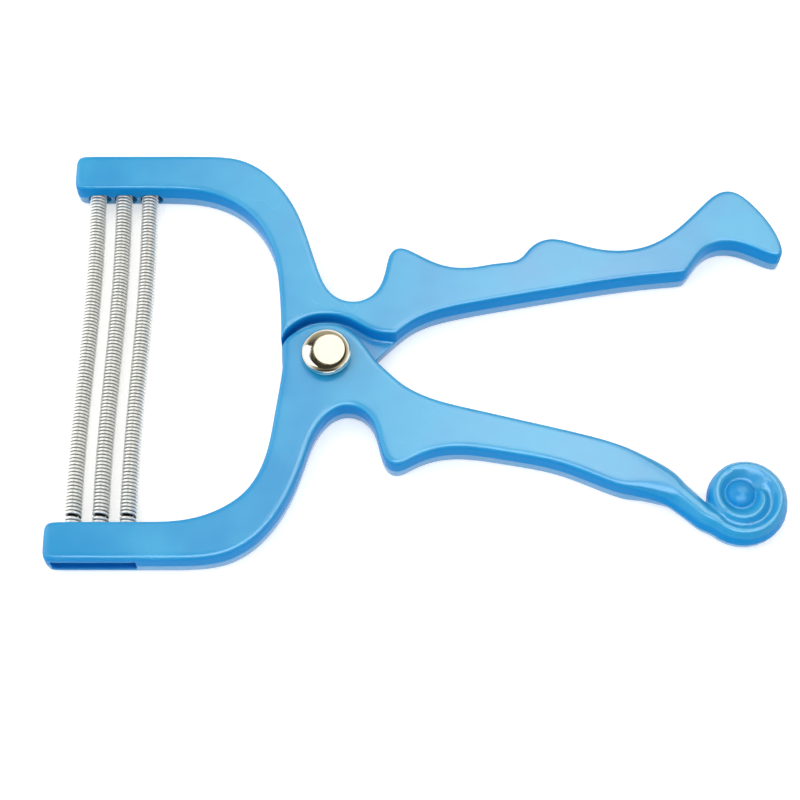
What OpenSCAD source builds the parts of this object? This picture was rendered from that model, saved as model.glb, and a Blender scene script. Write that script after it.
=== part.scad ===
// Spring facial hair remover: two moulded levers riveted together,
// with three close-wound springs stretched between their jaws.
// X runs along the handles, Y from jaw to jaw, Z up from the table.
// The rivet's axis is the Z axis and the levers lie on z = 0.

/* [Levers] */
// Thickness of both levers
lever_t = 7.5; // [6:0.5:12]
// Radius of the moulded edges
edge_r = 0.7; // [0.4:0.1:1.6]
// Radius of the edges that face the table
under_r = 0.5; // [0.4:0.1:1]
// How far the walls draw in below mid thickness
wall_draw = 0.3; // [0.1:0.1:0.8]
// Play between the two lapped plates
lap_play = 0.2; // [0.1:0.05:0.6]

/* [Jaws] */
// Inner face of the upper jaw, from the rivet
upper_jaw_y = 38.7; // [36:0.1:40]
// Inner face of the lower jaw, from the rivet
lower_jaw_y = -35.7; // [-38:0.1:-34]
// Width of each jaw bar
jaw_w = 8; // [7.5:0.5:10]
// Free end of the upper jaw
upper_jaw_x = -53; // [-56:0.5:-51]
// Free end of the lower jaw
lower_jaw_x = -54.5; // [-57:0.5:-52]
// Length of the slot in each jaw's outer face
slot_l = 16.5; // [15:0.5:18]
// Height of the slot's middle above the table
slot_z = 3.3; // [3:0.1:3.6]
// Height of that slot
slot_h = 3.9; // [3.6:0.1:4.4]
// Depth of that slot
slot_d = 5.6; // [5:0.1:6]
// Plastic left beyond the slot at the jaw's free end
slot_end_wall = 1.5; // [1:0.25:3]

/* [Springs] */
// Height of the springs' axes above the table
spring_z = 2.4; // [2.2:0.1:2.8]
// Outside diameter of a spring
spring_d = 3.55; // [3:0.05:3.6]
// Play round a spring in its hole
hole_play = 0.2; // [0.1:0.05:0.25]
// Diameter of the spring wire
wire_d = 0.7; // [0.5:0.05:0.8]
// Distance between neighbouring springs
spring_spacing = 5.4; // [5.2:0.1:6]
// Middle spring's distance from the upper jaw's free end
upper_spring_in = 9.8; // [9.2:0.1:10.4]
// Middle spring's distance from the lower jaw's free end
lower_spring_in = 10.5; // [9.9:0.1:11.1]
// Diameter of the pins that hold the springs' end loops
pin_d = 1.6; // [1.2:0.1:2]
// Sideways room for a spring in its hole as the jaws open
swing_room = 0.9; // [0.5:0.1:1.2]

/* [Rivet] */
// Diameter of the rivet's domed head
head_d = 10; // [8:0.5:12]
// Height of that head
head_h = 3.1; // [3:0.1:3.6]
// Radius of the head's rounded rim
rim_r = 1.4; // [1:0.05:1.5]
// Diameter of the rivet's shank
shank_d = 4; // [3:0.5:5]
// Diameter of the flat tail under the levers
tail_d = 7; // [6:0.5:9]
// Thickness of the tail
tail_h = 1; // [0.6:0.1:1.4]

/* [Scroll] */
// Centre of the scroll that ends the lower handle, along the handles
scroll_x = 82.2; // [81.8:0.1:82.5]
// Centre of the scroll, across the handles
scroll_y = -30.2; // [-30.6:0.1:-30]
// Radius of the rope's middle where the scroll starts
scroll_r = 7.4; // [7:0.1:7.8]
// How much of that radius is lost by the rope's end
scroll_fall = 4; // [3.6:0.1:4.3]
// Half width of the scroll's rope where it starts
rope_half_w = 2.05; // [1.9:0.05:2.2]
// How much of that half width is lost by the rope's end
rope_taper = 0.45; // [0.3:0.05:0.7]
// Radius of the ball at the scroll's centre
ball_r = 2.3; // [2:0.1:2.6]

/* [Hidden] */
$fn = 64;

plastic = "#4fa9e0";
steel = "#c9ccd0";
running_play = 0.05;
hole_d = spring_d + hole_play;
upper_spring_x = upper_jaw_x + upper_spring_in;
lower_spring_x = lower_jaw_x + lower_spring_in;
loop_r = pin_d / 2 + running_play + wire_d / 2;
coil_pitch = wire_d + 0.04;
pin_inset = jaw_w / 2;
pin_foot = 0.4;
pin_top = lever_t - 1.2;
open_play = 0.5;
upper_back_y = upper_jaw_y + jaw_w;
lower_back_y = lower_jaw_y - jaw_w;
corner = 2.5;
// Angles at which the scroll's rope starts, is joined and ends
scroll_from = 215;
scroll_mid = 475;
scroll_to = 745;

// Where each spring hangs on its two pins, outermost first
function spring_x(middle, i) = middle + (i - 1) * spring_spacing;
upper_pin_y = upper_jaw_y + pin_inset;
lower_pin_y = lower_jaw_y - pin_inset;

// Outline of the upper lever, from the free end of its jaw round the outside
upper_outside = [
    [upper_jaw_x, upper_jaw_y], [upper_jaw_x, upper_jaw_y + corner],
    [upper_jaw_x, upper_back_y - corner], [upper_jaw_x, upper_back_y],
    [upper_jaw_x + corner, upper_back_y], [-42, upper_back_y], [-31, upper_back_y],
    [-24, upper_back_y], [-18.5, upper_back_y - 0.5], [-13.5, upper_back_y - 3.4],
    [-9.5, 38.8], [-6.5, 33.7], [-4.5, 28], [-3, 23],
    [-1.5, 18], [0.5, 14], [4.5, 12], [8.5, 13], [11, 16], [12, 20.5], [12.5, 24],
    [15, 25.5], [19, 23], [23.5, 20.5], [29, 20], [34.5, 21.5], [39.5, 21.5],
    [41, 25], [45, 27.5], [49.5, 26.5], [55, 24.5], [61, 24], [67, 25.5],
    [72.5, 29.5], [77.5, 35], [81, 38.5], [85, 38.5], [89, 34], [92, 29.5],
    [93.5, 25], [93.3, 22.7], [91, 23]];
// Underside of the hook and of the handle, back towards the rivet
upper_underside = [
    [88.5, 24.2], [85, 26], [81, 26.5], [77.5, 25], [75, 21.5], [73.5, 19],
    [72, 18.8], [66, 18.3], [58, 17.2], [50, 15.8], [42, 14.3], [34, 12.8], [26, 11.2],
    [20, 9.5], [16, 7]];
// Edge of the plate that laps under the lower lever
upper_lap = [
    [12.5, 3.5], [9.5, 0.5], [7.5, -3], [5, -6], [1, -7.8], [-3, -7.3],
    [-6.5, -5.5], [-9, -3]];
// Inside of the arm, back to the jaw
upper_inside = [
    [-9.2, 2], [-9.3, 7], [-9.5, 12], [-10, 17], [-10.5, 22], [-12.5, 27.5],
    [-15.5, 32.3], [-20, 36], [-25.5, upper_jaw_y - 0.6], [-31, upper_jaw_y],
    [-40, upper_jaw_y], [upper_jaw_x + corner, upper_jaw_y]];

// Outline of the lower lever, from its jaw's free end round the inside
lower_inside = [
    [lower_jaw_x, lower_back_y], [lower_jaw_x, lower_back_y + corner],
    [lower_jaw_x, lower_jaw_y - corner], [lower_jaw_x, lower_jaw_y],
    [lower_jaw_x + corner, lower_jaw_y], [-42, lower_jaw_y], [-33, lower_jaw_y],
    [-28, lower_jaw_y + 0.2],
    [-23, -34.3], [-18.5, -32], [-15, -29], [-12.5, -24.5], [-11, -19],
    [-10.3, -13.5], [-9.5, -8], [-8.8, -3], [-8.7, 1]];
// Eye that carries the rivet's head
lower_eye = [
    [-9, 3.5], [-6.5, 5.5], [-3, 7.3], [1, 7.8], [5, 6], [7.5, 3], [9.5, -0.5],
    [12.5, -3.5]];
// Upper edge of the handle, as far as the neck
lower_topside = [
    [16, -7], [22, -9.8], [29, -11.5], [37, -13.5], [45, -15.5], [53, -17.5],
    [59.5, -19.7], [65, -22], [69, -24.5], [71.5, -27.5]];
// Underside of the handle, back to the jaw
lower_outside = [
    [70.5, -31], [67, -30.8], [62.5, -29], [58, -28.5], [53, -26.3], [47.5, -23.8],
    [42, -22.3], [36, -21.3], [29, -20], [23, -20], [18, -21.8], [14.5, -24.3],
    [11.5, -23], [10.5, -18.5], [9.5, -14], [6.8, -11.2], [3, -10.7], [0, -13],
    [-2.5, -17], [-4, -22.5], [-6, -28.5], [-9, -34.5], [-13.5, -39.8],
    [-19, lower_back_y + 0.7], [-25, lower_back_y], [-31, lower_back_y],
    [-42, lower_back_y], [lower_jaw_x + corner, lower_back_y]];

// Wall beside the eye, in the upper lever's frame
lap_wall = [
    [-12, -14], [-11.1, -7], [-10.6, -1.3], [-9.5, 4], [-7, 7.3], [-3.5, 9.2],
    [0, 9.6], [3.7, 9], [6.5, 7.3], [9, 5.6], [11.5, 5], [15, 5], [20, 5],
    [24, 5], [24, -4], [24, -14], [10, -14], [-2, -14]];

// Closed cubic B-spline through the corners of a control outline: points and tangents
function at(p, i) = p[(i + len(p)) % len(p)];
function spline_point(p, i, t) =
    (at(p, i) * pow(1 - t, 3) + at(p, i + 1) * (3 * pow(t, 3) - 6 * t * t + 4)
     + at(p, i + 2) * (-3 * pow(t, 3) + 3 * t * t + 3 * t + 1)
     + at(p, i + 3) * pow(t, 3)) / 6;
function spline_slope(p, i, t) =
    (-at(p, i) * pow(1 - t, 2) + at(p, i + 1) * (3 * t * t - 4 * t)
     + at(p, i + 2) * (-3 * t * t + 2 * t + 1) + at(p, i + 3) * t * t) / 2;
function outline(p, steps) =
    [for (i = [0:len(p) - 1], k = [0:steps - 1]) spline_point(p, i, k / steps)];
function outward(p, steps) =
    [for (i = [0:len(p) - 1], k = [0:steps - 1])
        let (s = spline_slope(p, i, k / steps)) [-s.y, s.x] / norm(s)];

// Share of the way from 0 to 1 with a soft start and end
function smooth_step(t) = let (u = min(max(t, 0), 1)) u * u * (3 - 2 * u);

// Plate with a clockwise outline and rounded edges. A radius below 0 flares the edge, draw
// slopes the walls in below mid thickness, extra adds to both radii between from_x and to_x,
// and over carries the walls on above z1.
module rounded_plate(p, z0, z1, low_r, top_r, draw = 0, extra = 0, from_x = 0, to_x = 1,
                     over = 0, steps = 4) {
    draw_h = (z1 - z0) * 0.44;
    pts = outline(p, steps);
    out = outward(p, steps);
    grow = [for (q = pts) extra * smooth_step((q.x - from_x) / (to_x - from_x))];
    n = len(pts);
    low_angles = low_r == 0 ? [90] : [90, 45, 0];
    top_angles = top_r == 0 ? [90] : [0, 30, 60, 90];
    low_rings = [for (a = low_angles, i = [0:n - 1])
        let (r = low_r + grow[i], z = r * (1 - sin(a)),
             slope = max(draw - grow[i], 0) * (1 - z / draw_h),
             q = pts[i] - out[i] * (r * (1 - cos(a)) + slope))
        [q.x, q.y, z0 + z]];
    drawn = [for (q = pts) [q.x, q.y, z0 + draw_h]];
    top_rings = [for (a = top_angles, i = [0:n - 1])
        let (r = top_r + grow[i], q = pts[i] - out[i] * r * (1 - cos(a)))
        [q.x, q.y, z1 - abs(r) * (1 - sin(a))]];
    last = [for (i = [0:n - 1])
        let (q = pts[i] - out[i] * (top_r + grow[i])) [q.x, q.y, z1 + over]];
    points = concat(low_rings, draw > 0 ? drawn : [], top_rings, over > 0 ? last : []);
    m = len(points) / n;
    polyhedron(points, concat(
        [[for (i = [0:n - 1]) n - 1 - i]],
        [for (k = [0:m - 2], i = [0:n - 1])
            [k * n + i, k * n + (i + 1) % n, (k + 1) * n + (i + 1) % n, (k + 1) * n + i]],
        [[for (i = [0:n - 1]) (m - 1) * n + i]]));
}

// Rope with an oval section along a path of [x, y, half width], all at mid thickness
module rope(path, half_h, sides = 10) {
    n = len(path);
    points = [for (i = [0:n - 1])
        let (a = path[max(i - 1, 0)], b = path[min(i + 1, n - 1)], d = [b.x - a.x, b.y - a.y],
             side = [-d.y, d.x] / norm(d))
        for (k = [0:sides - 1])
            [path[i].x + side.x * path[i].z * cos(360 * k / sides),
             path[i].y + side.y * path[i].z * cos(360 * k / sides),
             lever_t / 2 + half_h * sin(360 * k / sides)]];
    polyhedron(points, concat(
        [[for (k = [0:sides - 1]) k]],
        [for (i = [0:n - 2], k = [0:sides - 1])
            [i * sides + k, (i + 1) * sides + k, (i + 1) * sides + (k + 1) % sides,
             i * sides + (k + 1) % sides]],
        [[for (k = [0:sides - 1]) n * sides - 1 - k]]));
}

// A point of the scroll's spiral at an angle that grows inwards, with the half width there
function scroll_point(a) =
    let (t = (a - scroll_from) / (scroll_to - scroll_from),
         r = scroll_r - scroll_fall * pow(t, 1.5))
    [scroll_x + r * cos(a), scroll_y + r * sin(a), rope_half_w - rope_taper * t];

module scroll() {
    outer_half_h = lever_t / 2;
    inner_half_h = lever_t / 2 - 0.2;
    web_inset = 1.1;
    web_r = 5;
    neck = [[62, -26, 3.3], [64.5, -26.4, 3.3], [67, -27.4, 3.2], [69.2, -28.9, 2.9],
            [71.2, -30.7, 2.7], [73, -32.5, 2.5], [74.5, -34, 2.35]];
    rope(concat(neck, [for (a = [scroll_from + 9:12:scroll_mid + 12]) scroll_point(a)]),
         outer_half_h);
    rope([for (a = [scroll_mid - 12:12:scroll_to]) scroll_point(a)], inner_half_h);
    translate([scroll_x, scroll_y, web_inset])
        cylinder(h = lever_t - 2 * web_inset, r = web_r, $fn = 32);
    translate([scroll_x, scroll_y, lever_t / 2]) intersection() {
        sphere(r = lever_t / 2, $fn = 32);
        cylinder(h = lever_t, r = ball_r, center = true, $fn = 32);
    }
}

// What is cut out of a lever for the other one's plate, as in the upper lever
module lap_cut(z0, z1, flare) {
    rounded_plate(lap_wall, z0, z1, 0, -flare, over = 1);
}

// Holes, slot and pin holes of a jaw; side is 1 for the upper jaw and -1 for the lower one
module jaw_cuts(middle, end_x, inner_y, side, pin_hole_d) {
    for (i = [0:2]) {
        x = spring_x(middle, i);
        for (shift = [0, swing_room])
            translate([x + shift, inner_y - side, spring_z]) rotate([-90 * side, 0, 0])
                cylinder(h = pin_inset + 1, d = hole_d);
        translate([x, side > 0 ? inner_y - 1 : inner_y - pin_inset, spring_z - hole_d / 2])
            cube([swing_room, pin_inset + 1, hole_d]);
        translate([x, inner_y + side * pin_inset, -1]) cylinder(h = pin_top + 1.1, d = pin_hole_d);
    }
    translate([end_x + slot_end_wall, side > 0 ? inner_y + jaw_w - slot_d : inner_y - jaw_w - 1,
               slot_z - slot_h / 2])
        cube([slot_l, slot_d + 1, slot_h]);
}

module upper_lever() {
    color(plastic) difference() {
        resize([0, 0, 0]) difference() {
            rounded_plate(concat(upper_outside, upper_underside, upper_lap, upper_inside),
                          0, lever_t, under_r, edge_r, wall_draw);
            lap_cut(lever_t / 2 - lap_play / 2, lever_t, edge_r);
        }
        translate([0, 0, -1]) cylinder(h = lever_t + 2, d = shank_d);
        translate([0, 0, -1]) cylinder(h = tail_h + 1, d = tail_d);
        jaw_cuts(upper_spring_x, upper_jaw_x, upper_jaw_y, 1, pin_d);
    }
}

module lower_lever() {
    neck_round = 1.6;
    neck_from_x = 56;
    neck_to_x = 68;
    color(plastic) difference() {
        resize([0, 0, 0]) difference() {
            union() {
                rounded_plate(concat(lower_inside, lower_eye, lower_topside, lower_outside),
                              0, lever_t, under_r, edge_r, wall_draw,
                              neck_round, neck_from_x, neck_to_x);
                scroll();
            }
            mirror([0, 1, 0]) lap_cut(-1, lever_t / 2 + lap_play / 2 - 1, 0);
        }
        translate([0, 0, -1]) cylinder(h = lever_t + 2, d = shank_d + 2 * running_play);
        jaw_cuts(lower_spring_x, lower_jaw_x, lower_jaw_y, -1, pin_d + 2 * open_play);
    }
}

module rivet() {
    reach = head_d / 2 - rim_r;
    rise = head_h - rim_r;
    dome_r = (reach * reach + rise * rise - rim_r * rim_r) / (2 * (rise - rim_r));
    join = 90 - asin(reach / (dome_r - rim_r));
    rim = [for (k = [0:12]) let (a = -90 + (join + 90) * k / 12)
        [reach + rim_r * cos(a), rim_r + rim_r * sin(a)]];
    dome = [for (k = [1:8]) let (a = join + (90 - join) * k / 8)
        [dome_r * cos(a), head_h - dome_r + dome_r * sin(a)]];
    head_z = lever_t + running_play;
    color(steel) {
        cylinder(h = tail_h, d = tail_d);
        cylinder(h = head_z + rim_r, d = shank_d);
        translate([0, 0, head_z]) rotate_extrude($fn = 96)
            polygon(concat([[0, 0]], rim, dome));
    }
}

// One spring from its upper pin to its lower pin, with an end loop round each
module spring(i) {
    upper = [spring_x(upper_spring_x, i), upper_pin_y];
    lower = [spring_x(lower_spring_x, i), lower_pin_y];
    way = lower - upper;
    span = norm(way);
    loop_neck = 0.4;
    coil_start = pin_d / 2 + loop_neck;
    coil_l = span - 2 * coil_start;
    turns = round(coil_l / coil_pitch);
    pitch = coil_l / turns;
    r = spring_d / 2;
    groove = wire_d / 4;
    ridges = [for (k = [0:turns - 1], q = [[-0.5, groove], [-0.2, 0], [0.2, 0]])
        [r - q[1], (k + 0.5 + q[0]) * pitch]];
    color(steel) translate([upper.x, upper.y, spring_z]) rotate(atan2(way.y, way.x)) {
        rotate([0, 90, 0]) translate([0, 0, coil_start])
            rotate_extrude() polygon(concat([[r - wire_d, 0]], ridges,
                [[r - groove, coil_l], [r - wire_d, coil_l]]));
        for (end = [0, span]) translate([end, 0, 0])
            rotate_extrude() translate([loop_r, 0]) circle(d = wire_d, $fn = 24);
        for (bar = [coil_start + wire_d / 2, span - coil_start - wire_d / 2])
            translate([bar, 0, 0]) rotate([90, 0, 0])
                cylinder(h = spring_d - wire_d, d = wire_d, center = true, $fn = 24);
    }
}

module pin(middle, i, y) {
    color(steel) translate([spring_x(middle, i), y, pin_foot])
        cylinder(h = pin_top - pin_foot, d = pin_d, $fn = 32);
}

upper_lever();
lower_lever();
rivet();
spring(0);  // spring_outer
spring(1);  // spring_middle
spring(2);  // spring_inner
pin(upper_spring_x, 0, upper_pin_y);  // upper_pin_outer
pin(upper_spring_x, 1, upper_pin_y);  // upper_pin_middle
pin(upper_spring_x, 2, upper_pin_y);  // upper_pin_inner
pin(lower_spring_x, 0, lower_pin_y);  // lower_pin_outer
pin(lower_spring_x, 1, lower_pin_y);  // lower_pin_middle
pin(lower_spring_x, 2, lower_pin_y);  // lower_pin_inner
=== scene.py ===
# %% [markdown]
# # A spring facial hair remover
#
# The tool lies flat on a white table. Two glossy blue levers cross at a polished
# rivet, and squeezing their handles opens the jaws and stretches three close-wound
# springs. The solids come from the CAD frame, which fixes every size and joint, and
# this lesson gives each of them its finish.

# %% Load the frame
import math

import bmesh
import bpy
import numpy as np
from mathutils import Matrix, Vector
from mathutils.kdtree import KDTree


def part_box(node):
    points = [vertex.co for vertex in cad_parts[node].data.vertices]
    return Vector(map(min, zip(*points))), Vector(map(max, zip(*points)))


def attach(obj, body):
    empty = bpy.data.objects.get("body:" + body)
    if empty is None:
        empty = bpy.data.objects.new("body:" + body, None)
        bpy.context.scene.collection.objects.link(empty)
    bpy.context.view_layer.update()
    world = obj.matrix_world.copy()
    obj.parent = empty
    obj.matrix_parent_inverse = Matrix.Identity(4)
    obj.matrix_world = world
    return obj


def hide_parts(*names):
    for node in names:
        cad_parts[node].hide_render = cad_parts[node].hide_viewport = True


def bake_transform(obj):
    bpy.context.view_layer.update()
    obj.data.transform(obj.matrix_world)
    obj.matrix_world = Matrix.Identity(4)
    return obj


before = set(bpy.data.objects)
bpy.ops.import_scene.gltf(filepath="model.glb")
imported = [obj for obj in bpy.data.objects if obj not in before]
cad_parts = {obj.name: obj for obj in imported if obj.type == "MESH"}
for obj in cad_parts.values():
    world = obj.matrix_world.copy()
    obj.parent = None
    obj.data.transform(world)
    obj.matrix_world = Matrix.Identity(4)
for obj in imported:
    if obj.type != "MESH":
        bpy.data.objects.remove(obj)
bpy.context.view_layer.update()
MM = 0.001
print("nodes:", ", ".join(sorted(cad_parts)))

# %% [markdown]
# ## Camera
#
# The camera looks down on the table at 65 degrees from the side of the lower jaw.
# A long lens keeps the two jaws nearly parallel. A camera is placed most simply by
# the point it looks at, its height angle and its distance.

# %% Camera
LOOKED_AT = Vector((14.77, -6.42, 0)) * MM
CAMERA_ELEVATION = math.radians(65)
CAMERA_DISTANCE = 460 * MM

camera_data = bpy.data.cameras.new("camera")
camera_data.lens = 102.2
camera_data.sensor_width = 36
camera = bpy.data.objects.new("camera", camera_data)
bpy.context.scene.collection.objects.link(camera)
away = Vector((0, -math.cos(CAMERA_ELEVATION), math.sin(CAMERA_ELEVATION)))
camera.location = LOOKED_AT + away * CAMERA_DISTANCE
camera.rotation_euler = (math.pi / 2 - CAMERA_ELEVATION, 0, 0)
bpy.context.scene.camera = camera
print("camera at", [round(v, 3) for v in camera.location])

# %% [markdown]
# ## Table and light
#
# The photograph's table is pure white, with a soft shadow close to the tool. A floor
# that shines a little to the camera alone reaches white without more light on the
# tool, and its diffuse half still takes the shadow.

# %% Table
FLOOR_GLOW = 0.42


def new_material(name):
    """An empty node material, with its node tree and output node."""
    material = bpy.data.materials.new(name)
    material.use_nodes = True
    tree = material.node_tree
    tree.nodes.clear()
    output = tree.nodes.new("ShaderNodeOutputMaterial")
    return material, tree, output


def white_table():
    """Diffuse white with a glow that only camera rays and mirror rays see."""
    material, tree, output = new_material("white_table")
    diffuse = tree.nodes.new("ShaderNodeBsdfDiffuse")
    diffuse.inputs["Color"].default_value = (0.86, 0.86, 0.86, 1)
    glow = tree.nodes.new("ShaderNodeEmission")
    path = tree.nodes.new("ShaderNodeLightPath")
    seen = tree.nodes.new("ShaderNodeMath")
    seen.operation = "MAXIMUM"
    tree.links.new(path.outputs["Is Camera Ray"], seen.inputs[0])
    tree.links.new(path.outputs["Is Glossy Ray"], seen.inputs[1])
    strength = tree.nodes.new("ShaderNodeMath")
    strength.operation = "MULTIPLY"
    strength.inputs[1].default_value = FLOOR_GLOW
    tree.links.new(seen.outputs[0], strength.inputs[0])
    tree.links.new(strength.outputs[0], glow.inputs["Strength"])
    both = tree.nodes.new("ShaderNodeAddShader")
    tree.links.new(diffuse.outputs[0], both.inputs[0])
    tree.links.new(glow.outputs[0], both.inputs[1])
    tree.links.new(both.outputs[0], output.inputs["Surface"])
    return material


bpy.ops.mesh.primitive_plane_add(size=6)
table = bpy.context.object
table.name = "table"
table.data.materials.append(white_table())
print("table is", [round(v, 2) for v in table.dimensions], "m")

# %% [markdown]
# The rivet's mirror shows what stands round the tool: a round cream panel overhead, a
# white window on the left, pale walls low down and a dark ceiling between them. The
# overhead fill lights the colours but stays out of the reflections, as light through a
# large tent does, and so does a lower one in front. Five more panels do the opposite:
# they are only seen as the sheen on the plastic and the glint on the wire. Light linking
# keeps them off the rivet, as a photographer would with a small black flag beside it.

# %% Lamps and world
def soft_lamp(name, place, size, radiance, colour=(1, 1, 1), shape="RECTANGLE"):
    """An area lamp at place (mm) that faces the rivet."""
    data = bpy.data.lights.new(name, "AREA")
    data.shape = shape
    data.size, data.size_y = size[0] * MM, size[1] * MM
    data.energy = radiance * math.pi * data.size * data.size_y
    data.color = colour
    lamp = bpy.data.objects.new(name, data)
    bpy.context.scene.collection.objects.link(lamp)
    lamp.location = Vector(place) * MM
    lamp.rotation_euler = (-lamp.location).to_track_quat("-Z", "Y").to_euler()
    return lamp


sheen_takers = bpy.data.collections.new("sheen_takers")
glint_takers = bpy.data.collections.new("glint_takers")


def sheen_lamp(name, place, size, radiance, colour, takers):
    """A lamp that only shows as a reflection, and only on its takers."""
    lamp = soft_lamp(name, place, size, radiance, colour)
    lamp.visible_diffuse = False
    lamp.light_linking.receiver_collection = takers
    return lamp


def fill_lamp(name, place, size, radiance):
    """A lamp that lights the colours but isn't seen in any reflection."""
    lamp = soft_lamp(name, place, size, radiance)
    lamp.visible_glossy = False
    return lamp


CREAM = (1, 0.96, 0.82)
WARM = (1, 0.93, 0.68)
fill_lamp("overhead_fill", (0, 0, 900), (1200, 1200), 1.05)
fill_lamp("front_fill", (200, -640, 400), (900, 500), 1.7)
soft_lamp("cream_panel", (14, 236, 500), (290, 330), 1.22, CREAM, "ELLIPSE")
soft_lamp("left_window", (-480, 50, 460), (760, 660), 1.4)
sheen_lamp("sheen_far", (20, 337, 441), (180, 176), 3.0, WARM, sheen_takers)
sheen_lamp("sheen_near", (60, 159, 532), (110, 231), 3.0, WARM, sheen_takers)
sheen_lamp("sheen_handles", (250, 240, 500), (380, 440), 5.0, WARM, sheen_takers)
sheen_lamp("edge_line", (120, -230, 560), (640, 460), 7.0, (0.9, 0.97, 1), sheen_takers)
sheen_lamp("wire_glint", (120, -190, 580), (640, 300), 2.0, (1, 1, 1), glint_takers)


def studio_world():
    """White to the camera, and to everything else pale walls under a dark ceiling, with
    a dark opening behind the camera."""
    world = bpy.data.worlds.new("studio")
    world.use_nodes = True
    tree = world.node_tree
    tree.nodes.clear()
    output = tree.nodes.new("ShaderNodeOutputWorld")
    place = tree.nodes.new("ShaderNodeTexCoord")
    split = tree.nodes.new("ShaderNodeSeparateXYZ")
    ramp = tree.nodes.new("ShaderNodeValToRGB")
    stops = ((0.27, (1.05, 1.05, 1.05, 1)), (0.45, (0.55, 0.5, 0.38, 1)),
             (0.72, (0.42, 0.38, 0.28, 1)), (0.8, (0.05, 0.045, 0.035, 1)))
    for stop, (position, colour) in zip([*ramp.color_ramp.elements, None, None], stops):
        stop = stop or ramp.color_ramp.elements.new(position)
        stop.position, stop.color = position, colour
    room = tree.nodes.new("ShaderNodeBackground")
    white = tree.nodes.new("ShaderNodeBackground")
    opening = tree.nodes.new("ShaderNodeMapRange")
    opening.inputs["From Min"].default_value = -0.85
    opening.inputs["From Max"].default_value = -0.5
    opening.inputs["To Min"].default_value = 0.08
    path = tree.nodes.new("ShaderNodeLightPath")
    mix = tree.nodes.new("ShaderNodeMixShader")
    tree.links.new(split.outputs["Y"], opening.inputs["Value"])
    tree.links.new(opening.outputs["Result"], room.inputs["Strength"])
    tree.links.new(place.outputs["Generated"], split.inputs[0])
    tree.links.new(split.outputs["Z"], ramp.inputs["Fac"])
    tree.links.new(ramp.outputs["Color"], room.inputs["Color"])
    tree.links.new(path.outputs["Is Camera Ray"], mix.inputs["Fac"])
    tree.links.new(room.outputs[0], mix.inputs[1])
    tree.links.new(white.outputs[0], mix.inputs[2])
    tree.links.new(mix.outputs[0], output.inputs["Surface"])
    bpy.context.scene.world = world
    return world


studio_world()
bpy.context.scene.view_settings.view_transform = "Standard"
print("lamps:", len(bpy.data.lights))

# %% [markdown]
# ## Surface effects
#
# Real mouldings and plated metal are never perfectly even. One node group gives a soft
# unevenness at a chosen scale, as a height for a bump and as a mask for colour and
# roughness. Each material places it with values of its own.

# %% Soft unevenness group
def unevenness_group():
    """Two sizes of noise over the object's own coordinates, as Height and Mask."""
    group = bpy.data.node_groups.new("soft_unevenness", "ShaderNodeTree")
    for name, value in (("Broad Scale", 40.0), ("Fine Scale", 900.0), ("Fine Share", 0.2)):
        socket = group.interface.new_socket(name=name, in_out="INPUT",
                                            socket_type="NodeSocketFloat")
        socket.default_value = value
    for name in ("Height", "Mask"):
        group.interface.new_socket(name=name, in_out="OUTPUT", socket_type="NodeSocketFloat")
    nodes, links = group.nodes, group.links
    given = nodes.new("NodeGroupInput")
    result = nodes.new("NodeGroupOutput")
    place = nodes.new("ShaderNodeTexCoord")
    broad = nodes.new("ShaderNodeTexNoise")
    broad.inputs["Detail"].default_value = 2
    fine = nodes.new("ShaderNodeTexNoise")
    fine.inputs["Detail"].default_value = 3
    mix = nodes.new("ShaderNodeMix")
    links.new(place.outputs["Object"], broad.inputs["Vector"])
    links.new(place.outputs["Object"], fine.inputs["Vector"])
    links.new(given.outputs["Broad Scale"], broad.inputs["Scale"])
    links.new(given.outputs["Fine Scale"], fine.inputs["Scale"])
    links.new(given.outputs["Fine Share"], mix.inputs["Factor"])
    links.new(broad.outputs["Fac"], mix.inputs["A"])
    links.new(fine.outputs["Fac"], mix.inputs["B"])
    links.new(mix.outputs["Result"], result.inputs["Height"])
    links.new(broad.outputs["Fac"], result.inputs["Mask"])
    return group


soft_unevenness = unevenness_group()
print("group inputs:", [item.name for item in soft_unevenness.interface.items_tree])

# %% [markdown]
# ## Blue plastic
#
# The levers are injection moulded in a glossy, evenly dyed plastic. A Principled
# shader with a mild roughness gives the wide soft reflections. The group above bends
# them a little, as sink and flow in a real moulding do, and shifts the dye slightly.
# The helpers come first: a display colour, a shader, the group with its values, a bump
# and a blend of two colours.

# %% Helpers for the materials
def srgb(red, green, blue):
    """A display colour of 0 to 255 a channel, as the linear colour that shaders use."""
    def linear(value):
        value /= 255
        return value / 12.92 if value <= 0.04045 else ((value + 0.055) / 1.055) ** 2.4
    return (linear(red), linear(green), linear(blue), 1)


def principled(tree, output):
    """A Principled shader wired to the material's output."""
    shader = tree.nodes.new("ShaderNodeBsdfPrincipled")
    tree.links.new(shader.outputs[0], output.inputs["Surface"])
    return shader


def uneven(tree, broad, fine, fine_share):
    """The unevenness group placed in a material with that material's values."""
    node = tree.nodes.new("ShaderNodeGroup")
    node.node_tree = soft_unevenness
    node.inputs["Broad Scale"].default_value = broad
    node.inputs["Fine Scale"].default_value = fine
    node.inputs["Fine Share"].default_value = fine_share
    return node


def bump(tree, shader, height, strength, distance):
    """Bends the shader's normal by a height."""
    node = tree.nodes.new("ShaderNodeBump")
    node.inputs["Strength"].default_value = strength
    node.inputs["Distance"].default_value = distance
    tree.links.new(height, node.inputs["Height"])
    tree.links.new(node.outputs["Normal"], shader.inputs["Normal"])
    return node


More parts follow.
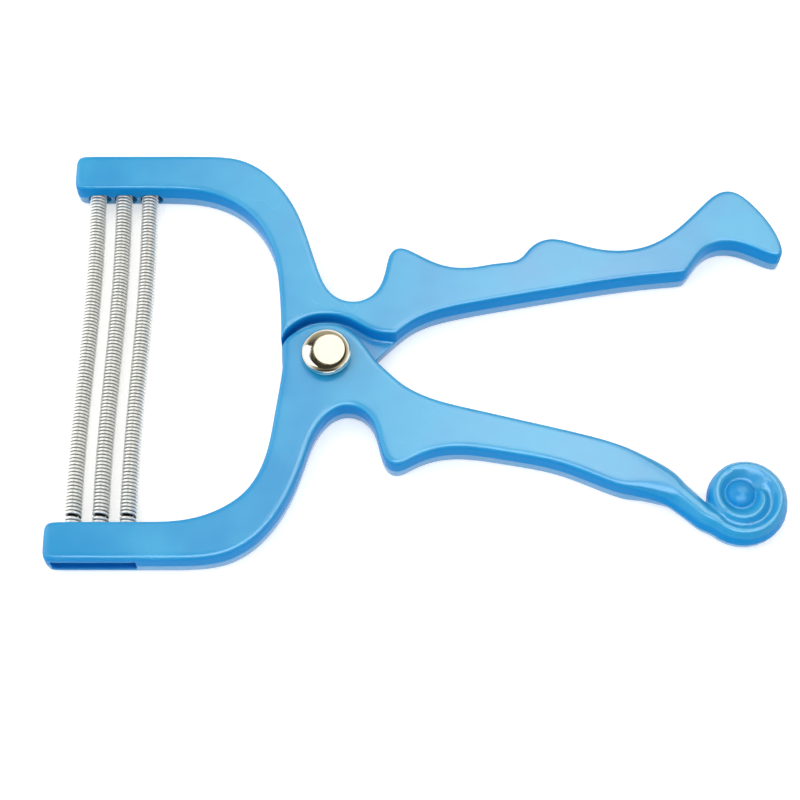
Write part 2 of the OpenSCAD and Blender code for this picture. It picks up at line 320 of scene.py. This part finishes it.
def spread(tree, value, low, high):
    """Maps a 0 to 1 value to the range from low to high."""
    node = tree.nodes.new("ShaderNodeMapRange")
    node.interpolation_type = "SMOOTHSTEP"
    node.inputs["From Min"].default_value = 0.2
    node.inputs["From Max"].default_value = 0.8
    node.inputs["To Min"].default_value = low
    node.inputs["To Max"].default_value = high
    tree.links.new(value, node.inputs["Value"])
    return node.outputs["Result"]


def blend_colours(tree, value, low, high):
    """A colour between low and high, by a 0 to 1 value."""
    node = tree.nodes.new("ShaderNodeMix")
    node.data_type = "RGBA"
    node.inputs["A"].default_value = low
    node.inputs["B"].default_value = high
    tree.links.new(value, node.inputs["Factor"])
    return node.outputs["Result"]


print("display mid grey in linear light:", round(srgb(128, 128, 128)[0], 3))

# %% [markdown]
# A moulding's side walls look darker than its flat top, because they face away from the
# lamps above, and below the parting line they pick up the white table again. The shader
# paints both into the colour: painted shade on the walls above the parting line and a pale
# painted reflection of the table below it. It finds a wall by the tilt of its normal, and
# the parting line by its height. The insides of the jaws' slots get painted shade as well.
# They and the scroll's ball are marked by attributes of the mesh, which the levers' cells write.

# %% Blue plastic material
PARTING_Z = 3.4 * MM
PARTING_BLUR = 0.25 * MM
WALL_TILT, TOP_TILT = 0.2, 0.75
FULL_GLOSS, DULL_GLOSS = 0.5, 0.03
BALL_DULLNESS = 0.6


def wall_light_masks(tree):
    """Masks of the walls above and below the parting line, which runs at mid thickness: painted
    shade goes on the walls above it and a painted reflection of the table on those below.
    """
    surface = tree.nodes.new("ShaderNodeNewGeometry")
    facing = tree.nodes.new("ShaderNodeSeparateXYZ")
    tree.links.new(surface.outputs["Normal"], facing.inputs[0])
    up = tree.nodes.new("ShaderNodeMath")
    up.operation = "ABSOLUTE"
    tree.links.new(facing.outputs["Z"], up.inputs[0])
    upright = tree.nodes.new("ShaderNodeMapRange")
    upright.interpolation_type = "SMOOTHSTEP"
    upright.inputs["From Min"].default_value = TOP_TILT
    upright.inputs["From Max"].default_value = WALL_TILT
    tree.links.new(up.outputs[0], upright.inputs["Value"])
    place = tree.nodes.new("ShaderNodeTexCoord")
    split = tree.nodes.new("ShaderNodeSeparateXYZ")
    tree.links.new(place.outputs["Object"], split.inputs[0])
    above = tree.nodes.new("ShaderNodeMapRange")
    above.interpolation_type = "SMOOTHSTEP"
    above.inputs["From Min"].default_value = PARTING_Z - PARTING_BLUR
    above.inputs["From Max"].default_value = PARTING_Z + PARTING_BLUR
    tree.links.new(split.outputs["Z"], above.inputs["Value"])
    masks = []
    for low, high in ((0, 1), (1, 0)):
        side = tree.nodes.new("ShaderNodeMapRange")
        side.inputs["To Min"].default_value = low
        side.inputs["To Max"].default_value = high
        tree.links.new(above.outputs["Result"], side.inputs["Value"])
        mask = tree.nodes.new("ShaderNodeMath")
        mask.operation = "MULTIPLY"
        tree.links.new(side.outputs["Result"], mask.inputs[0])
        tree.links.new(upright.outputs["Result"], mask.inputs[1])
        masks.append(mask.outputs[0])
    return masks


def tinted(tree, colour, mask, tint, amount):
    """The colour drawn towards a tint where the mask is 1."""
    share = tree.nodes.new("ShaderNodeMath")
    share.operation = "MULTIPLY"
    share.inputs[1].default_value = amount
    tree.links.new(mask, share.inputs[0])
    mix = tree.nodes.new("ShaderNodeMix")
    mix.data_type = "RGBA"
    mix.inputs["B"].default_value = tint
    tree.links.new(share.outputs[0], mix.inputs["Factor"])
    tree.links.new(colour, mix.inputs["A"])
    return mix.outputs["Result"]


def mesh_attribute(tree, name):
    """The value of one of the mesh's own attributes, point by point."""
    node = tree.nodes.new("ShaderNodeAttribute")
    node.attribute_name = name
    return node.outputs["Fac"]


def blue_plastic():
    """Glossy dyed plastic with painted shade and less gloss on its upper walls and in its slots,
    a pale painted reflection of the table on its lower walls, and a darker, duller ball.
    """
    material, tree, output = new_material("blue_plastic")
    shader = principled(tree, output)
    group = uneven(tree, broad=70, fine=1600, fine_share=0.12)
    drift = spread(tree, group.outputs["Mask"], 0, 1)
    dye = blend_colours(tree, drift, srgb(20, 139, 202), srgb(42, 157, 211))
    upper_wall_shade, lower_wall_reflection = wall_light_masks(tree)
    # Painted shade on the walls above the parting line, which face away from the lamps.
    dye = tinted(tree, dye, upper_wall_shade, srgb(8, 136, 212), 0.9)
    # A pale painted reflection of the white table on the walls below the parting line.
    dye = tinted(tree, dye, lower_wall_reflection, srgb(70, 150, 208), 0.6)
    # Painted shade inside the jaws' slots, where little light gets in.
    slot_shade = mesh_attribute(tree, "slot_shade")
    dye = tinted(tree, dye, slot_shade, srgb(8, 104, 196), 0.92)
    on_ball = mesh_attribute(tree, "on_ball")
    dye = tinted(tree, dye, on_ball, srgb(26, 140, 208), 0.85)
    tree.links.new(dye, shader.inputs["Base Color"])
    tree.links.new(spread(tree, group.outputs["Mask"], 0.2, 0.28), shader.inputs["Roughness"])
    gloss = tree.nodes.new("ShaderNodeMapRange")
    gloss.inputs["To Min"].default_value = FULL_GLOSS
    gloss.inputs["To Max"].default_value = DULL_GLOSS
    dull = tree.nodes.new("ShaderNodeMath")
    dull.operation = "MAXIMUM"
    tree.links.new(upper_wall_shade, dull.inputs[0])
    tree.links.new(slot_shade, dull.inputs[1])
    duller = tree.nodes.new("ShaderNodeMath")
    duller.operation = "MULTIPLY_ADD"
    duller.use_clamp = True
    duller.inputs[1].default_value = BALL_DULLNESS
    tree.links.new(on_ball, duller.inputs[0])
    tree.links.new(dull.outputs[0], duller.inputs[2])
    tree.links.new(duller.outputs[0], gloss.inputs["Value"])
    tree.links.new(gloss.outputs["Result"], shader.inputs["Specular IOR Level"])
    bump(tree, shader, group.outputs["Height"], strength=0.15, distance=0.4 * MM)
    shader.inputs["IOR"].default_value = 1.5
    shader.inputs["Subsurface Weight"].default_value = 0.05
    shader.inputs["Subsurface Radius"].default_value = (0.3, 0.6, 1.0)
    shader.inputs["Subsurface Scale"].default_value = 1 * MM
    return material


plastic = blue_plastic()
print("made", plastic.name)

# %% [markdown]
# ## Metals
#
# The rivet is nickel plated and polished to a mirror with a warm cast. The springs
# are bright drawn wire, with faint die marks that widen their highlights, and the pins
# are plain steel. One function makes all three from a pair of tints and a pair of
# roughnesses. The lamps are so large that they would fill the grooves between a spring's
# turns with light, so shade is painted there: an attribute of the mesh, which says how far
# each point faces away from the coil's axis, darkens the wire's colour in them.

# %% Metal materials
def metal(name, tints, rough, grain, relief):
    """A polished metal whose tint, gloss and surface drift a little. The grain is the
    scale of its broad and its fine noise."""
    material, tree, output = new_material(name)
    shader = principled(tree, output)
    group = uneven(tree, *grain, fine_share=0.5)
    tint = blend_colours(tree, group.outputs["Mask"], *tints)
    tree.links.new(tint, shader.inputs["Base Color"])
    roughness = spread(tree, group.outputs["Mask"], *rough)
    tree.links.new(roughness, shader.inputs["Roughness"])
    bump(tree, shader, group.outputs["Height"], strength=relief, distance=0.1 * MM)
    shader.inputs["Metallic"].default_value = 1
    return material, tree, shader, tint


def spring_metal():
    """Bright wire that is painted dull and dark, as shade, where one turn meets the next."""
    material, tree, shader, tint = metal(
        "bright_wire", tints=(srgb(222, 225, 224), srgb(240, 242, 240)),
        rough=(0.2, 0.28), grain=(400, 6000), relief=0.1)
    shader.inputs["Metallic"].default_value = 0.6
    crown = tree.nodes.new("ShaderNodeMapRange")
    crown.inputs["From Min"].default_value = 0.2
    crown.inputs["From Max"].default_value = 0.75
    tree.links.new(mesh_attribute(tree, "outward"), crown.inputs["Value"])
    # Painted shade in the grooves between turns, where the wire faces the coil's axis.
    groove_shade = blend_colours(tree, crown.outputs["Result"], srgb(58, 60, 58), srgb(255, 255, 255))
    tree.links.new(tint, groove_shade.node.inputs["B"])
    tree.links.new(groove_shade, shader.inputs["Base Color"])
    return material


nickel = metal("polished_nickel", tints=(srgb(226, 221, 204), srgb(240, 236, 224)),
               rough=(0.04, 0.08), grain=(300, 4000), relief=0.03)[0]
spring_wire = spring_metal()
pin_steel = metal("plain_steel", tints=(srgb(165, 167, 170), srgb(190, 191, 193)),
                  rough=(0.25, 0.4), grain=(300, 3000), relief=0.2)[0]
print("metals:", nickel.name, spring_wire.name, pin_steel.name)

# %% [markdown]
# ## Levers
#
# The frame's levers have the true outlines but flat facets, and subdividing them would
# keep the facets' pattern. A voxel remesh turns each into an even skin of small quads
# instead, and rounds of smoothing melt the facets as the mould does. Vertex groups steer
# the smoothing: it hardly touches the crisp corners of the lap and of the slots, and it
# works longest at the jaws' free ends, which are the roundest, and along the neck that
# leads to the scroll.

# %% Skin of a moulding
VOXEL = 0.28 * MM
CORNER_ANGLE = math.radians(60)
CORNER_STEP = 0.3 * MM
MELT_ROUNDS = 7
END_ROUNDS = 40
END_REACH = 4.5 * MM
NECK_FROM = 60 * MM
NECK_TO = 76 * MM
NECK_FADE = 3 * MM


def cad_copy(node, name):
    """A free copy of a frame node's mesh, with its doubled vertices joined."""
    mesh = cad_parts[node].data.copy()
    mesh.materials.clear()
    work = bmesh.new()
    work.from_mesh(mesh)
    bmesh.ops.remove_doubles(work, verts=work.verts, dist=1e-6)
    work.to_mesh(mesh)
    work.free()
    piece = bpy.data.objects.new(name, mesh)
    bpy.context.scene.collection.objects.link(piece)
    return piece


def apply_modifiers(piece):
    """The piece's mesh as its modifiers leave it, kept as its own mesh."""
    graph = bpy.context.evaluated_depsgraph_get()
    mesh = bpy.data.meshes.new_from_object(piece.evaluated_get(graph))
    piece.modifiers.clear()
    piece.data = mesh
    return mesh


def corner_tree(mesh):
    """A search tree of points along the mesh's sharp corners."""
    work = bmesh.new()
    work.from_mesh(mesh)
    points = []
    for edge in work.edges:
        if len(edge.link_faces) == 2 and edge.calc_face_angle() > CORNER_ANGLE:
            a, b = (vertex.co for vertex in edge.verts)
            steps = max(int(edge.calc_length() / CORNER_STEP), 1)
            points += [a.lerp(b, k / steps) for k in range(steps + 1)]
    work.free()
    search = KDTree(len(points))
    for index, point in enumerate(points):
        search.insert(point, index)
    search.balance()
    return search


def add_group(piece, name, weights):
    """A vertex group with one weight for each vertex."""
    group = piece.vertex_groups.new(name=name)
    for index, weight in enumerate(weights):
        group.add([index], weight, "REPLACE")
    return group


def clamp(value, low=0, high=1):
    return min(max(value, low), high)


def even_skin(piece):
    """The piece's mesh after a voxel remesh."""
    remesh = piece.modifiers.new("even_skin", "REMESH")
    remesh.mode = "VOXEL"
    remesh.voxel_size = VOXEL
    remesh.use_smooth_shade = True
    return apply_modifiers(piece)


def melted(piece, reshape):
    """The piece as an even, smooth skin that keeps its sharp corners. A reshape
    function may move the skin's vertices before it is smoothed."""
    corners = corner_tree(piece.data)
    end_x = min(vertex.co.x for vertex in piece.data.vertices)
    mesh = even_skin(piece)
    if reshape:
        reshape(mesh)
        mesh = even_skin(piece)
    soft, at_end, at_neck = [], [], []
    for vertex in mesh.vertices:
        x, y = vertex.co[:2]
        from_corner = corners.find(vertex.co)[2]
        soft.append(clamp((from_corner - 0.15 * MM) / MM, 0.12))
        at_end.append(clamp(1 - (x - end_x) / END_REACH) ** 2 * soft[-1])
        at_neck.append(clamp((x - NECK_FROM) / NECK_FADE) * clamp((NECK_TO - x) / NECK_FADE)
                       * (y < 0))
    for group, weights, rounds in (("soft", soft, MELT_ROUNDS), ("at_end", at_end, END_ROUNDS),
                                   ("at_neck", at_neck, END_ROUNDS)):
        add_group(piece, group, weights)
        smooth = piece.modifiers.new("melt_" + group, "SMOOTH")
        smooth.factor = 0.5
        smooth.iterations = rounds
        smooth.vertex_group = group
    return apply_modifiers(piece)


print("skin: quads of", round(VOXEL / MM, 2), "mm, melted", MELT_ROUNDS, "times")

# %% [markdown]
# The lower handle ends in a scroll: a rounded crest winds inwards for a turn and a half
# and runs down into a dish with a small ball at its middle. Such relief could be
# sculpted, but here its height is a function of the place, so that it is the same each
# time. Round the middle, a vertex's angle says where the crest lies, and its distance
# from the crest says how deep the groove is there.

# %% Scroll
SCROLL = (82.2 * MM, -30.2 * MM)
SCROLL_REACH = 7.5 * MM
RELIEF_FROM_Z = 5 * MM
WIND_FROM, TIGHTER_FROM, WIND_TO = 215, 700, 745
FADE_IN = 20
FADE_OUT_FROM, FADE_OUT = 722, 43
CREST_R, CREST_SHRINK = 7.4, 4
CREST_ROUND = 0.5 * MM
CREST_Z = 7.45 * MM
GROOVE_Z = 5.3 * MM
GROOVE_DEPTH = 1.5 * MM
BALL = (81.5 * MM, -29.4 * MM)
BALL_R = 2.9 * MM
BALL_TOP = 7.3 * MM


def scroll_crest(angle):
    """Radius of the scroll's crest at an angle in degrees that grows as it winds inwards.
    Its last stretch curls in a little tighter."""
    wound = (angle - WIND_FROM) / (WIND_TO - WIND_FROM)
    tightened = 0.9 * (max(angle - TIGHTER_FROM, 0) / 60) ** 2
    return (CREST_R - CREST_SHRINK * wound ** 1.5 - tightened) * MM


def ease(value):
    """A step from 0 to 1 with soft ends."""
    value = clamp(value)
    return value * value * (3 - 2 * value)


def dish_height(reach, x, y):
    """Height of the dish between a crest, which is this far off, and the ball."""
    to_ball = math.hypot(x - BALL[0], y - BALL[1])
    if to_ball < BALL_R:
        return GROOVE_Z + (BALL_TOP - GROOVE_Z) * math.sqrt(1 - (to_ball / BALL_R) ** 2)
    u = reach / (reach + to_ball - BALL_R)
    return CREST_Z - (CREST_Z - GROOVE_Z) * u ** 1.4


def scroll_height(x, y):
    """Height of the scroll's top at a point, and how far it counts there, from 0 to 1."""
    r = math.hypot(x - SCROLL[0], y - SCROLL[1])
    angle = (math.degrees(math.atan2(y - SCROLL[1], x - SCROLL[0])) - 45) % 360 + 45
    two_crests = angle > WIND_FROM
    outer = scroll_crest(angle if two_crests else angle + 360)
    if r >= outer:
        return 0, 0
    open_z = dish_height(outer - r, x, y)
    count = ease((outer - r) / CREST_ROUND)
    if not two_crests:
        return open_z, count
    inner = scroll_crest(angle + 360)
    if r > inner:
        gap = outer - inner
        depth = min(0.5 * gap, GROOVE_DEPTH)
        ridged = CREST_Z - depth * math.sin(math.pi * (r - inner) / gap) ** 1.5
        count *= ease((angle - WIND_FROM) / FADE_IN)
    else:
        ridged = dish_height(inner - r, x, y)
    inner_crest_share = 1 - ease((angle + 360 - FADE_OUT_FROM) / FADE_OUT)
    return open_z + (ridged - open_z) * inner_crest_share, count


def wind_scroll(mesh):
    """Gives the scroll its winding crest, which runs down to a ball at the middle."""
    for vertex in mesh.vertices:
        x, y, z = vertex.co
        if z > RELIEF_FROM_Z and math.hypot(x - SCROLL[0], y - SCROLL[1]) < SCROLL_REACH:
            height, count = scroll_height(x, y)
            vertex.co.z += (height - z) * count


print("scroll winds", round((WIND_TO - WIND_FROM) / 360, 2), "turns round its ball")

# %% [markdown]
# The pins of the lower jaw shift a little in their holes as the jaws open, and a remeshed
# skin closes in on them. So the skin's holes are opened wider before the second remesh.
# The insides of the jaws' slots, which take painted shade, and the scroll's ball can't be
# told from their normals, so the mesh marks them with two attributes that the plastic reads.

# %% Pin holes and marked areas
HOLE_R = 1.6 * MM
WALL_FROM_R = 0.9 * MM
CAP_ROOM = 0.3 * MM
BALL_FADE = 0.6 * MM
BALL_FOOT = 4 * MM

# For each slot, in mm: its closed end, its jaw's outer side and that side's sign. A
# slot's inside is then the same box for both jaws.
SLOTS = ((-51.5, 46.7, 1), (-53, -43.7, -1))
SLOT_ALONG, SLOT_DEEP, SLOT_HIGH = (-0.2, 16.7), (0.4, 5.8), (1.15, 5.45)


def widen_pin_holes(mesh):
    """Opens the lower jaw's pin holes, since its pins shift a little as the jaws open."""
    for place in ("outer", "middle", "inner"):
        low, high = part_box("lower_pin_" + place)
        centre = Vector(((low.x + high.x) / 2, (low.y + high.y) / 2))
        for vertex in mesh.vertices:
            across = Vector((vertex.co.x, vertex.co.y)) - centre
            above = vertex.co.z - high.z
            if across.length < HOLE_R and abs(above) < CAP_ROOM:
                vertex.co.z = high.z + CAP_ROOM
            if WALL_FROM_R < across.length < HOLE_R and above < CAP_ROOM + 0.05 * MM:
                vertex.co.x, vertex.co.y = centre + across.normalized() * HOLE_R


def shape_lower_lever(mesh):
    """All that is done to the lower lever's skin before it is melted."""
    wind_scroll(mesh)
    widen_pin_holes(mesh)


def within(value, limits):
    return limits[0] < value < limits[1]


def mark_areas(mesh):
    """Two attributes of the mesh: the slot mark is 1 on the walls inside the slot of either
    jaw, where the plastic paints shade, and "on_ball" is 1 on the ball at the middle of the
    scroll."""
    inside, on_ball = [], []
    for vertex in mesh.vertices:
        x, y, z = (value / MM for value in vertex.co)
        inside.append(float(any(
            within(x - start, SLOT_ALONG) and within(side * (outer - y), SLOT_DEEP)
            and within(z, SLOT_HIGH) for start, outer, side in SLOTS)))
        to_ball = math.hypot(vertex.co.x - BALL[0], vertex.co.y - BALL[1])
        on_top = vertex.co.z > BALL_FOOT
        on_ball.append(1 - ease((to_ball - BALL_R) / BALL_FADE) if on_top else 0.0)
    mesh.attributes.new("slot_shade", "FLOAT", "POINT").data.foreach_set("value", inside)
    mesh.attributes.new("on_ball", "FLOAT", "POINT").data.foreach_set("value", on_ball)


print("slots marked on", len(SLOTS), "jaws, pin holes", round(2 * HOLE_R / MM, 1), "mm across")

# %% [markdown]
# With that, each lever is one call. The skin stands for the frame's solid and rides on
# the same body, and it joins the collection that takes the sheen.

# %% Levers
def lever(node, body, reshape=None):
    """A lever's melted skin, finished in blue plastic."""
    piece = cad_copy(node, node + "_skin")
    mesh = melted(piece, reshape)
    mark_areas(mesh)
    mesh.materials.clear()
    mesh.materials.append(plastic)
    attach(piece, body)
    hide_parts(node)
    sheen_takers.objects.link(piece)
    top = max(vertex.co.z for vertex in mesh.vertices)
    print(piece.name, len(mesh.polygons), "faces,", round(top / MM, 3), "mm high")
    return piece


lever("upper_lever", "upper")
lever("lower_lever", "lower", shape_lower_lever)

# %% [markdown]
# ## Rivet
#
# The rivet's head is a shallow polished dome with a full round rim. Turned parts are
# drawn as half a section and spun, here with a loop that makes one ring of vertices for
# each point. The Screw modifier could spin it too, but its vertices on the axis have to
# be merged afterwards.

# %% Rivet
rivet_low, rivet_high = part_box("rivet")
HEAD_R = rivet_high.x
HEAD_Z = rivet_high.z - 3.1 * MM
RIM_R = 1.4 * MM
TAIL_R = 3.5 * MM
TAIL_H = 1 * MM
TAIL_EDGE = 0.12 * MM
SHANK_R = 2 * MM
RIVET_SIDES = 128


def arc(centre, radius, start, end, steps):
    """Points of a section's arc, as (r, z)."""
    angles = [math.radians(start + (end - start) * k / steps) for k in range(steps + 1)]
    return [(centre[0] + radius * math.cos(a), centre[1] + radius * math.sin(a)) for a in angles]


def spun(name, section, sides):
    """A closed solid from a section of (r, z) points, with both ends on the axis."""
    points = [(0, 0, section[0][1])]
    for r, z in section[1:-1]:
        turns = [2 * math.pi * k / sides for k in range(sides)]
        points += [(r * math.cos(turn), r * math.sin(turn), z) for turn in turns]
    points.append((0, 0, section[-1][1]))
    rings = len(section) - 2
    top = len(points) - 1
    faces = []
    for k in range(sides):
        after = (k + 1) % sides
        faces.append((0, 1 + after, 1 + k))
        for ring in range(rings - 1):
            a = 1 + ring * sides
            faces.append((a + k, a + after, a + sides + after, a + sides + k))
        last = 1 + (rings - 1) * sides
        faces.append((last + k, last + after, top))
    mesh = bpy.data.meshes.new(name)
    mesh.from_pydata(points, [], faces)
    mesh.shade_smooth()
    piece = bpy.data.objects.new(name, mesh)
    bpy.context.scene.collection.objects.link(piece)
    return piece


def rivet_section():
    """Flat tail, shank, round rim and dome, from the bottom up."""
    reach = HEAD_R - RIM_R
    rise = rivet_high.z - HEAD_Z - RIM_R
    dome_r = (reach ** 2 + rise ** 2 - RIM_R ** 2) / (2 * (rise - RIM_R))
    join = 90 - math.degrees(math.asin(reach / (dome_r - RIM_R)))
    tail_flat, tail_top = TAIL_R - TAIL_EDGE, TAIL_H - TAIL_EDGE
    section = [(0, 0), (tail_flat, 0)]
    section += arc((tail_flat, TAIL_EDGE), TAIL_EDGE, -90, 0, 4)[1:]
    section += [(TAIL_R, tail_top)] + arc((tail_flat, tail_top), TAIL_EDGE, 0, 90, 4)[1:]
    section += [(SHANK_R, TAIL_H), (SHANK_R, HEAD_Z)]
    section += arc((reach, HEAD_Z + RIM_R), RIM_R, -90, join, 28)
    section += arc((0, rivet_high.z - dome_r), dome_r, join, 90, 24)[1:]
    return section


rivet = spun("rivet_polished", rivet_section(), RIVET_SIDES)
rivet.data.materials.append(nickel)
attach(rivet, "upper")
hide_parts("rivet")
print("rivet head is", round(2 * HEAD_R / MM, 2), "mm across")

# %% [markdown]
# ## Springs
#
# Each spring is one wire: a loop round the upper pin, about a hundred turns that
# touch, and a loop round the lower pin. The wire's route is worked out from the two
# pins, and a small ring is carried along it. The springs are slack enough to bow
# a little, and one turn near the lower jaw stands open. A curve with a bevel would give
# the same wire, but a mesh can carry the attribute that paints shade on the wire between turns.

# %% Springs
WIRE_R = 0.36 * MM
COIL_R = 1.775 * MM - WIRE_R
TURN = 0.74 * MM
PIN_R = 0.8 * MM
STEPS_A_TURN = 20
WIRE_SIDES = 10
S_BOW = 0.38 * MM
SIDE_BOW = 0.2 * MM
OPEN_TURN = 0.5 * MM
OPEN_TURN_FROM_END = 7
LOOP_PLAY = 0.05 * MM


def pin_axis(node):
    """The point where a pin's axis meets the resting plane."""
    low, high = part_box(node)
    return Vector(((low.x + high.x) / 2, (low.y + high.y) / 2, 0))


def wire_route(upper, lower, height):
    """Points of the wire's middle from the upper loop to the lower one, each with the
    direction away from the coil's axis, and the number of turns."""
    way = lower - upper
    span = way.length
    along = way.normalized()
    side = Vector((-along.y, along.x, 0))
    rise = Vector((0, 0, 1))
    loop_r = PIN_R + WIRE_R + LOOP_PLAY
    coil_from = loop_r + WIRE_R
    coil_length = span - 2 * coil_from - OPEN_TURN
    turns = round(coil_length / TURN)
    base = Vector((upper.x, upper.y, height))

    def loop(end, angles):
        centre = base + along * end
        spokes = [along * math.cos(a) + side * math.sin(a) for a in angles]
        return [(centre + spoke * loop_r, spoke) for spoke in spokes]

    route = loop(0, [math.radians(a) for a in range(-300, -19, 20)])
    for k in range(turns * STEPS_A_TURN + 1):
        share = k / (turns * STEPS_A_TURN)
        turn = 2 * math.pi * k / STEPS_A_TURN
        opened = OPEN_TURN * clamp(share * turns - (turns - OPEN_TURN_FROM_END))
        s = coil_from + coil_length * share + opened
        bend = (S_BOW * math.sin(2 * math.pi * s / span)
                + SIDE_BOW * math.sin(math.pi * s / span))
        spoke = side * math.sin(turn) + rise * math.cos(turn)
        route.append((base + along * s + side * bend + spoke * COIL_R, spoke))
    route += loop(span, [math.radians(180 + a) for a in range(20, 301, 20)])
    return route, turns


def tube(name, route, radius, sides):
    """A round wire along a route, with its rings turned as little as possible. The
    attribute "outward" says how far each vertex faces away from the coil's axis."""
    points = np.array([point for point, spoke in route])
    spokes = np.array([spoke for point, spoke in route])
    ahead = np.gradient(points, axis=0)
    ahead /= np.linalg.norm(ahead, axis=1)[:, None]
    side = np.cross(ahead[0], (0, 0, 1.0))
    side /= np.linalg.norm(side)
    rings, outward = [], []
    for point, spoke, direction in zip(points, spokes, ahead):
        side = side - direction * np.dot(side, direction)
        side /= np.linalg.norm(side)
        other = np.cross(direction, side)
        for k in range(sides):
            a = 2 * math.pi * k / sides
            ray = side * math.cos(a) + other * math.sin(a)
            rings.append(tuple(point + radius * ray))
            outward.append(float(np.dot(ray, spoke)))
    count = len(points)
    faces = []
    for ring in range(0, (count - 1) * sides, sides):
        for k in range(sides):
            after = (k + 1) % sides
            faces.append((ring + k, ring + after, ring + sides + after, ring + sides + k))
    faces.append(tuple(reversed(range(sides))))
    faces.append(tuple((count - 1) * sides + k for k in range(sides)))
    mesh = bpy.data.meshes.new(name)
    mesh.from_pydata(rings, [], faces)
    mesh.shade_smooth()
    mesh.attributes.new("outward", "FLOAT", "POINT").data.foreach_set("value", outward)
    piece = bpy.data.objects.new(name, mesh)
    bpy.context.scene.collection.objects.link(piece)
    return piece


for place in ("outer", "middle", "inner"):
    upper_pin = pin_axis("upper_pin_" + place)
    lower_pin = pin_axis("lower_pin_" + place)
    low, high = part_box("spring_" + place)
    route, turns = wire_route(upper_pin, lower_pin, (low.z + high.z) / 2)
    spring = tube("wire_spring_" + place, route, WIRE_R, WIRE_SIDES)
    spring.data.materials.append(spring_wire)
    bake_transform(spring)
    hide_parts("spring_" + place)
    glint_takers.objects.link(spring)
    print(spring.name, turns, "turns,", len(spring.data.polygons), "faces")

# %% [markdown]
# ## Pins
#
# The pins inside the jaws are plain drawn steel. They are seen only through the slots,
# so the frame's own solids stay and take the steel finish.

# %% Pins
for node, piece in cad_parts.items():
    if "_pin_" in node:
        piece.data.materials.clear()
        piece.data.materials.append(pin_steel)
print("pins finished:", sum("_pin_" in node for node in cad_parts))

# %% [markdown]
# ## Size
#
# The finished model stays inside the frame's box.

# %% Sizes
print("scene built")
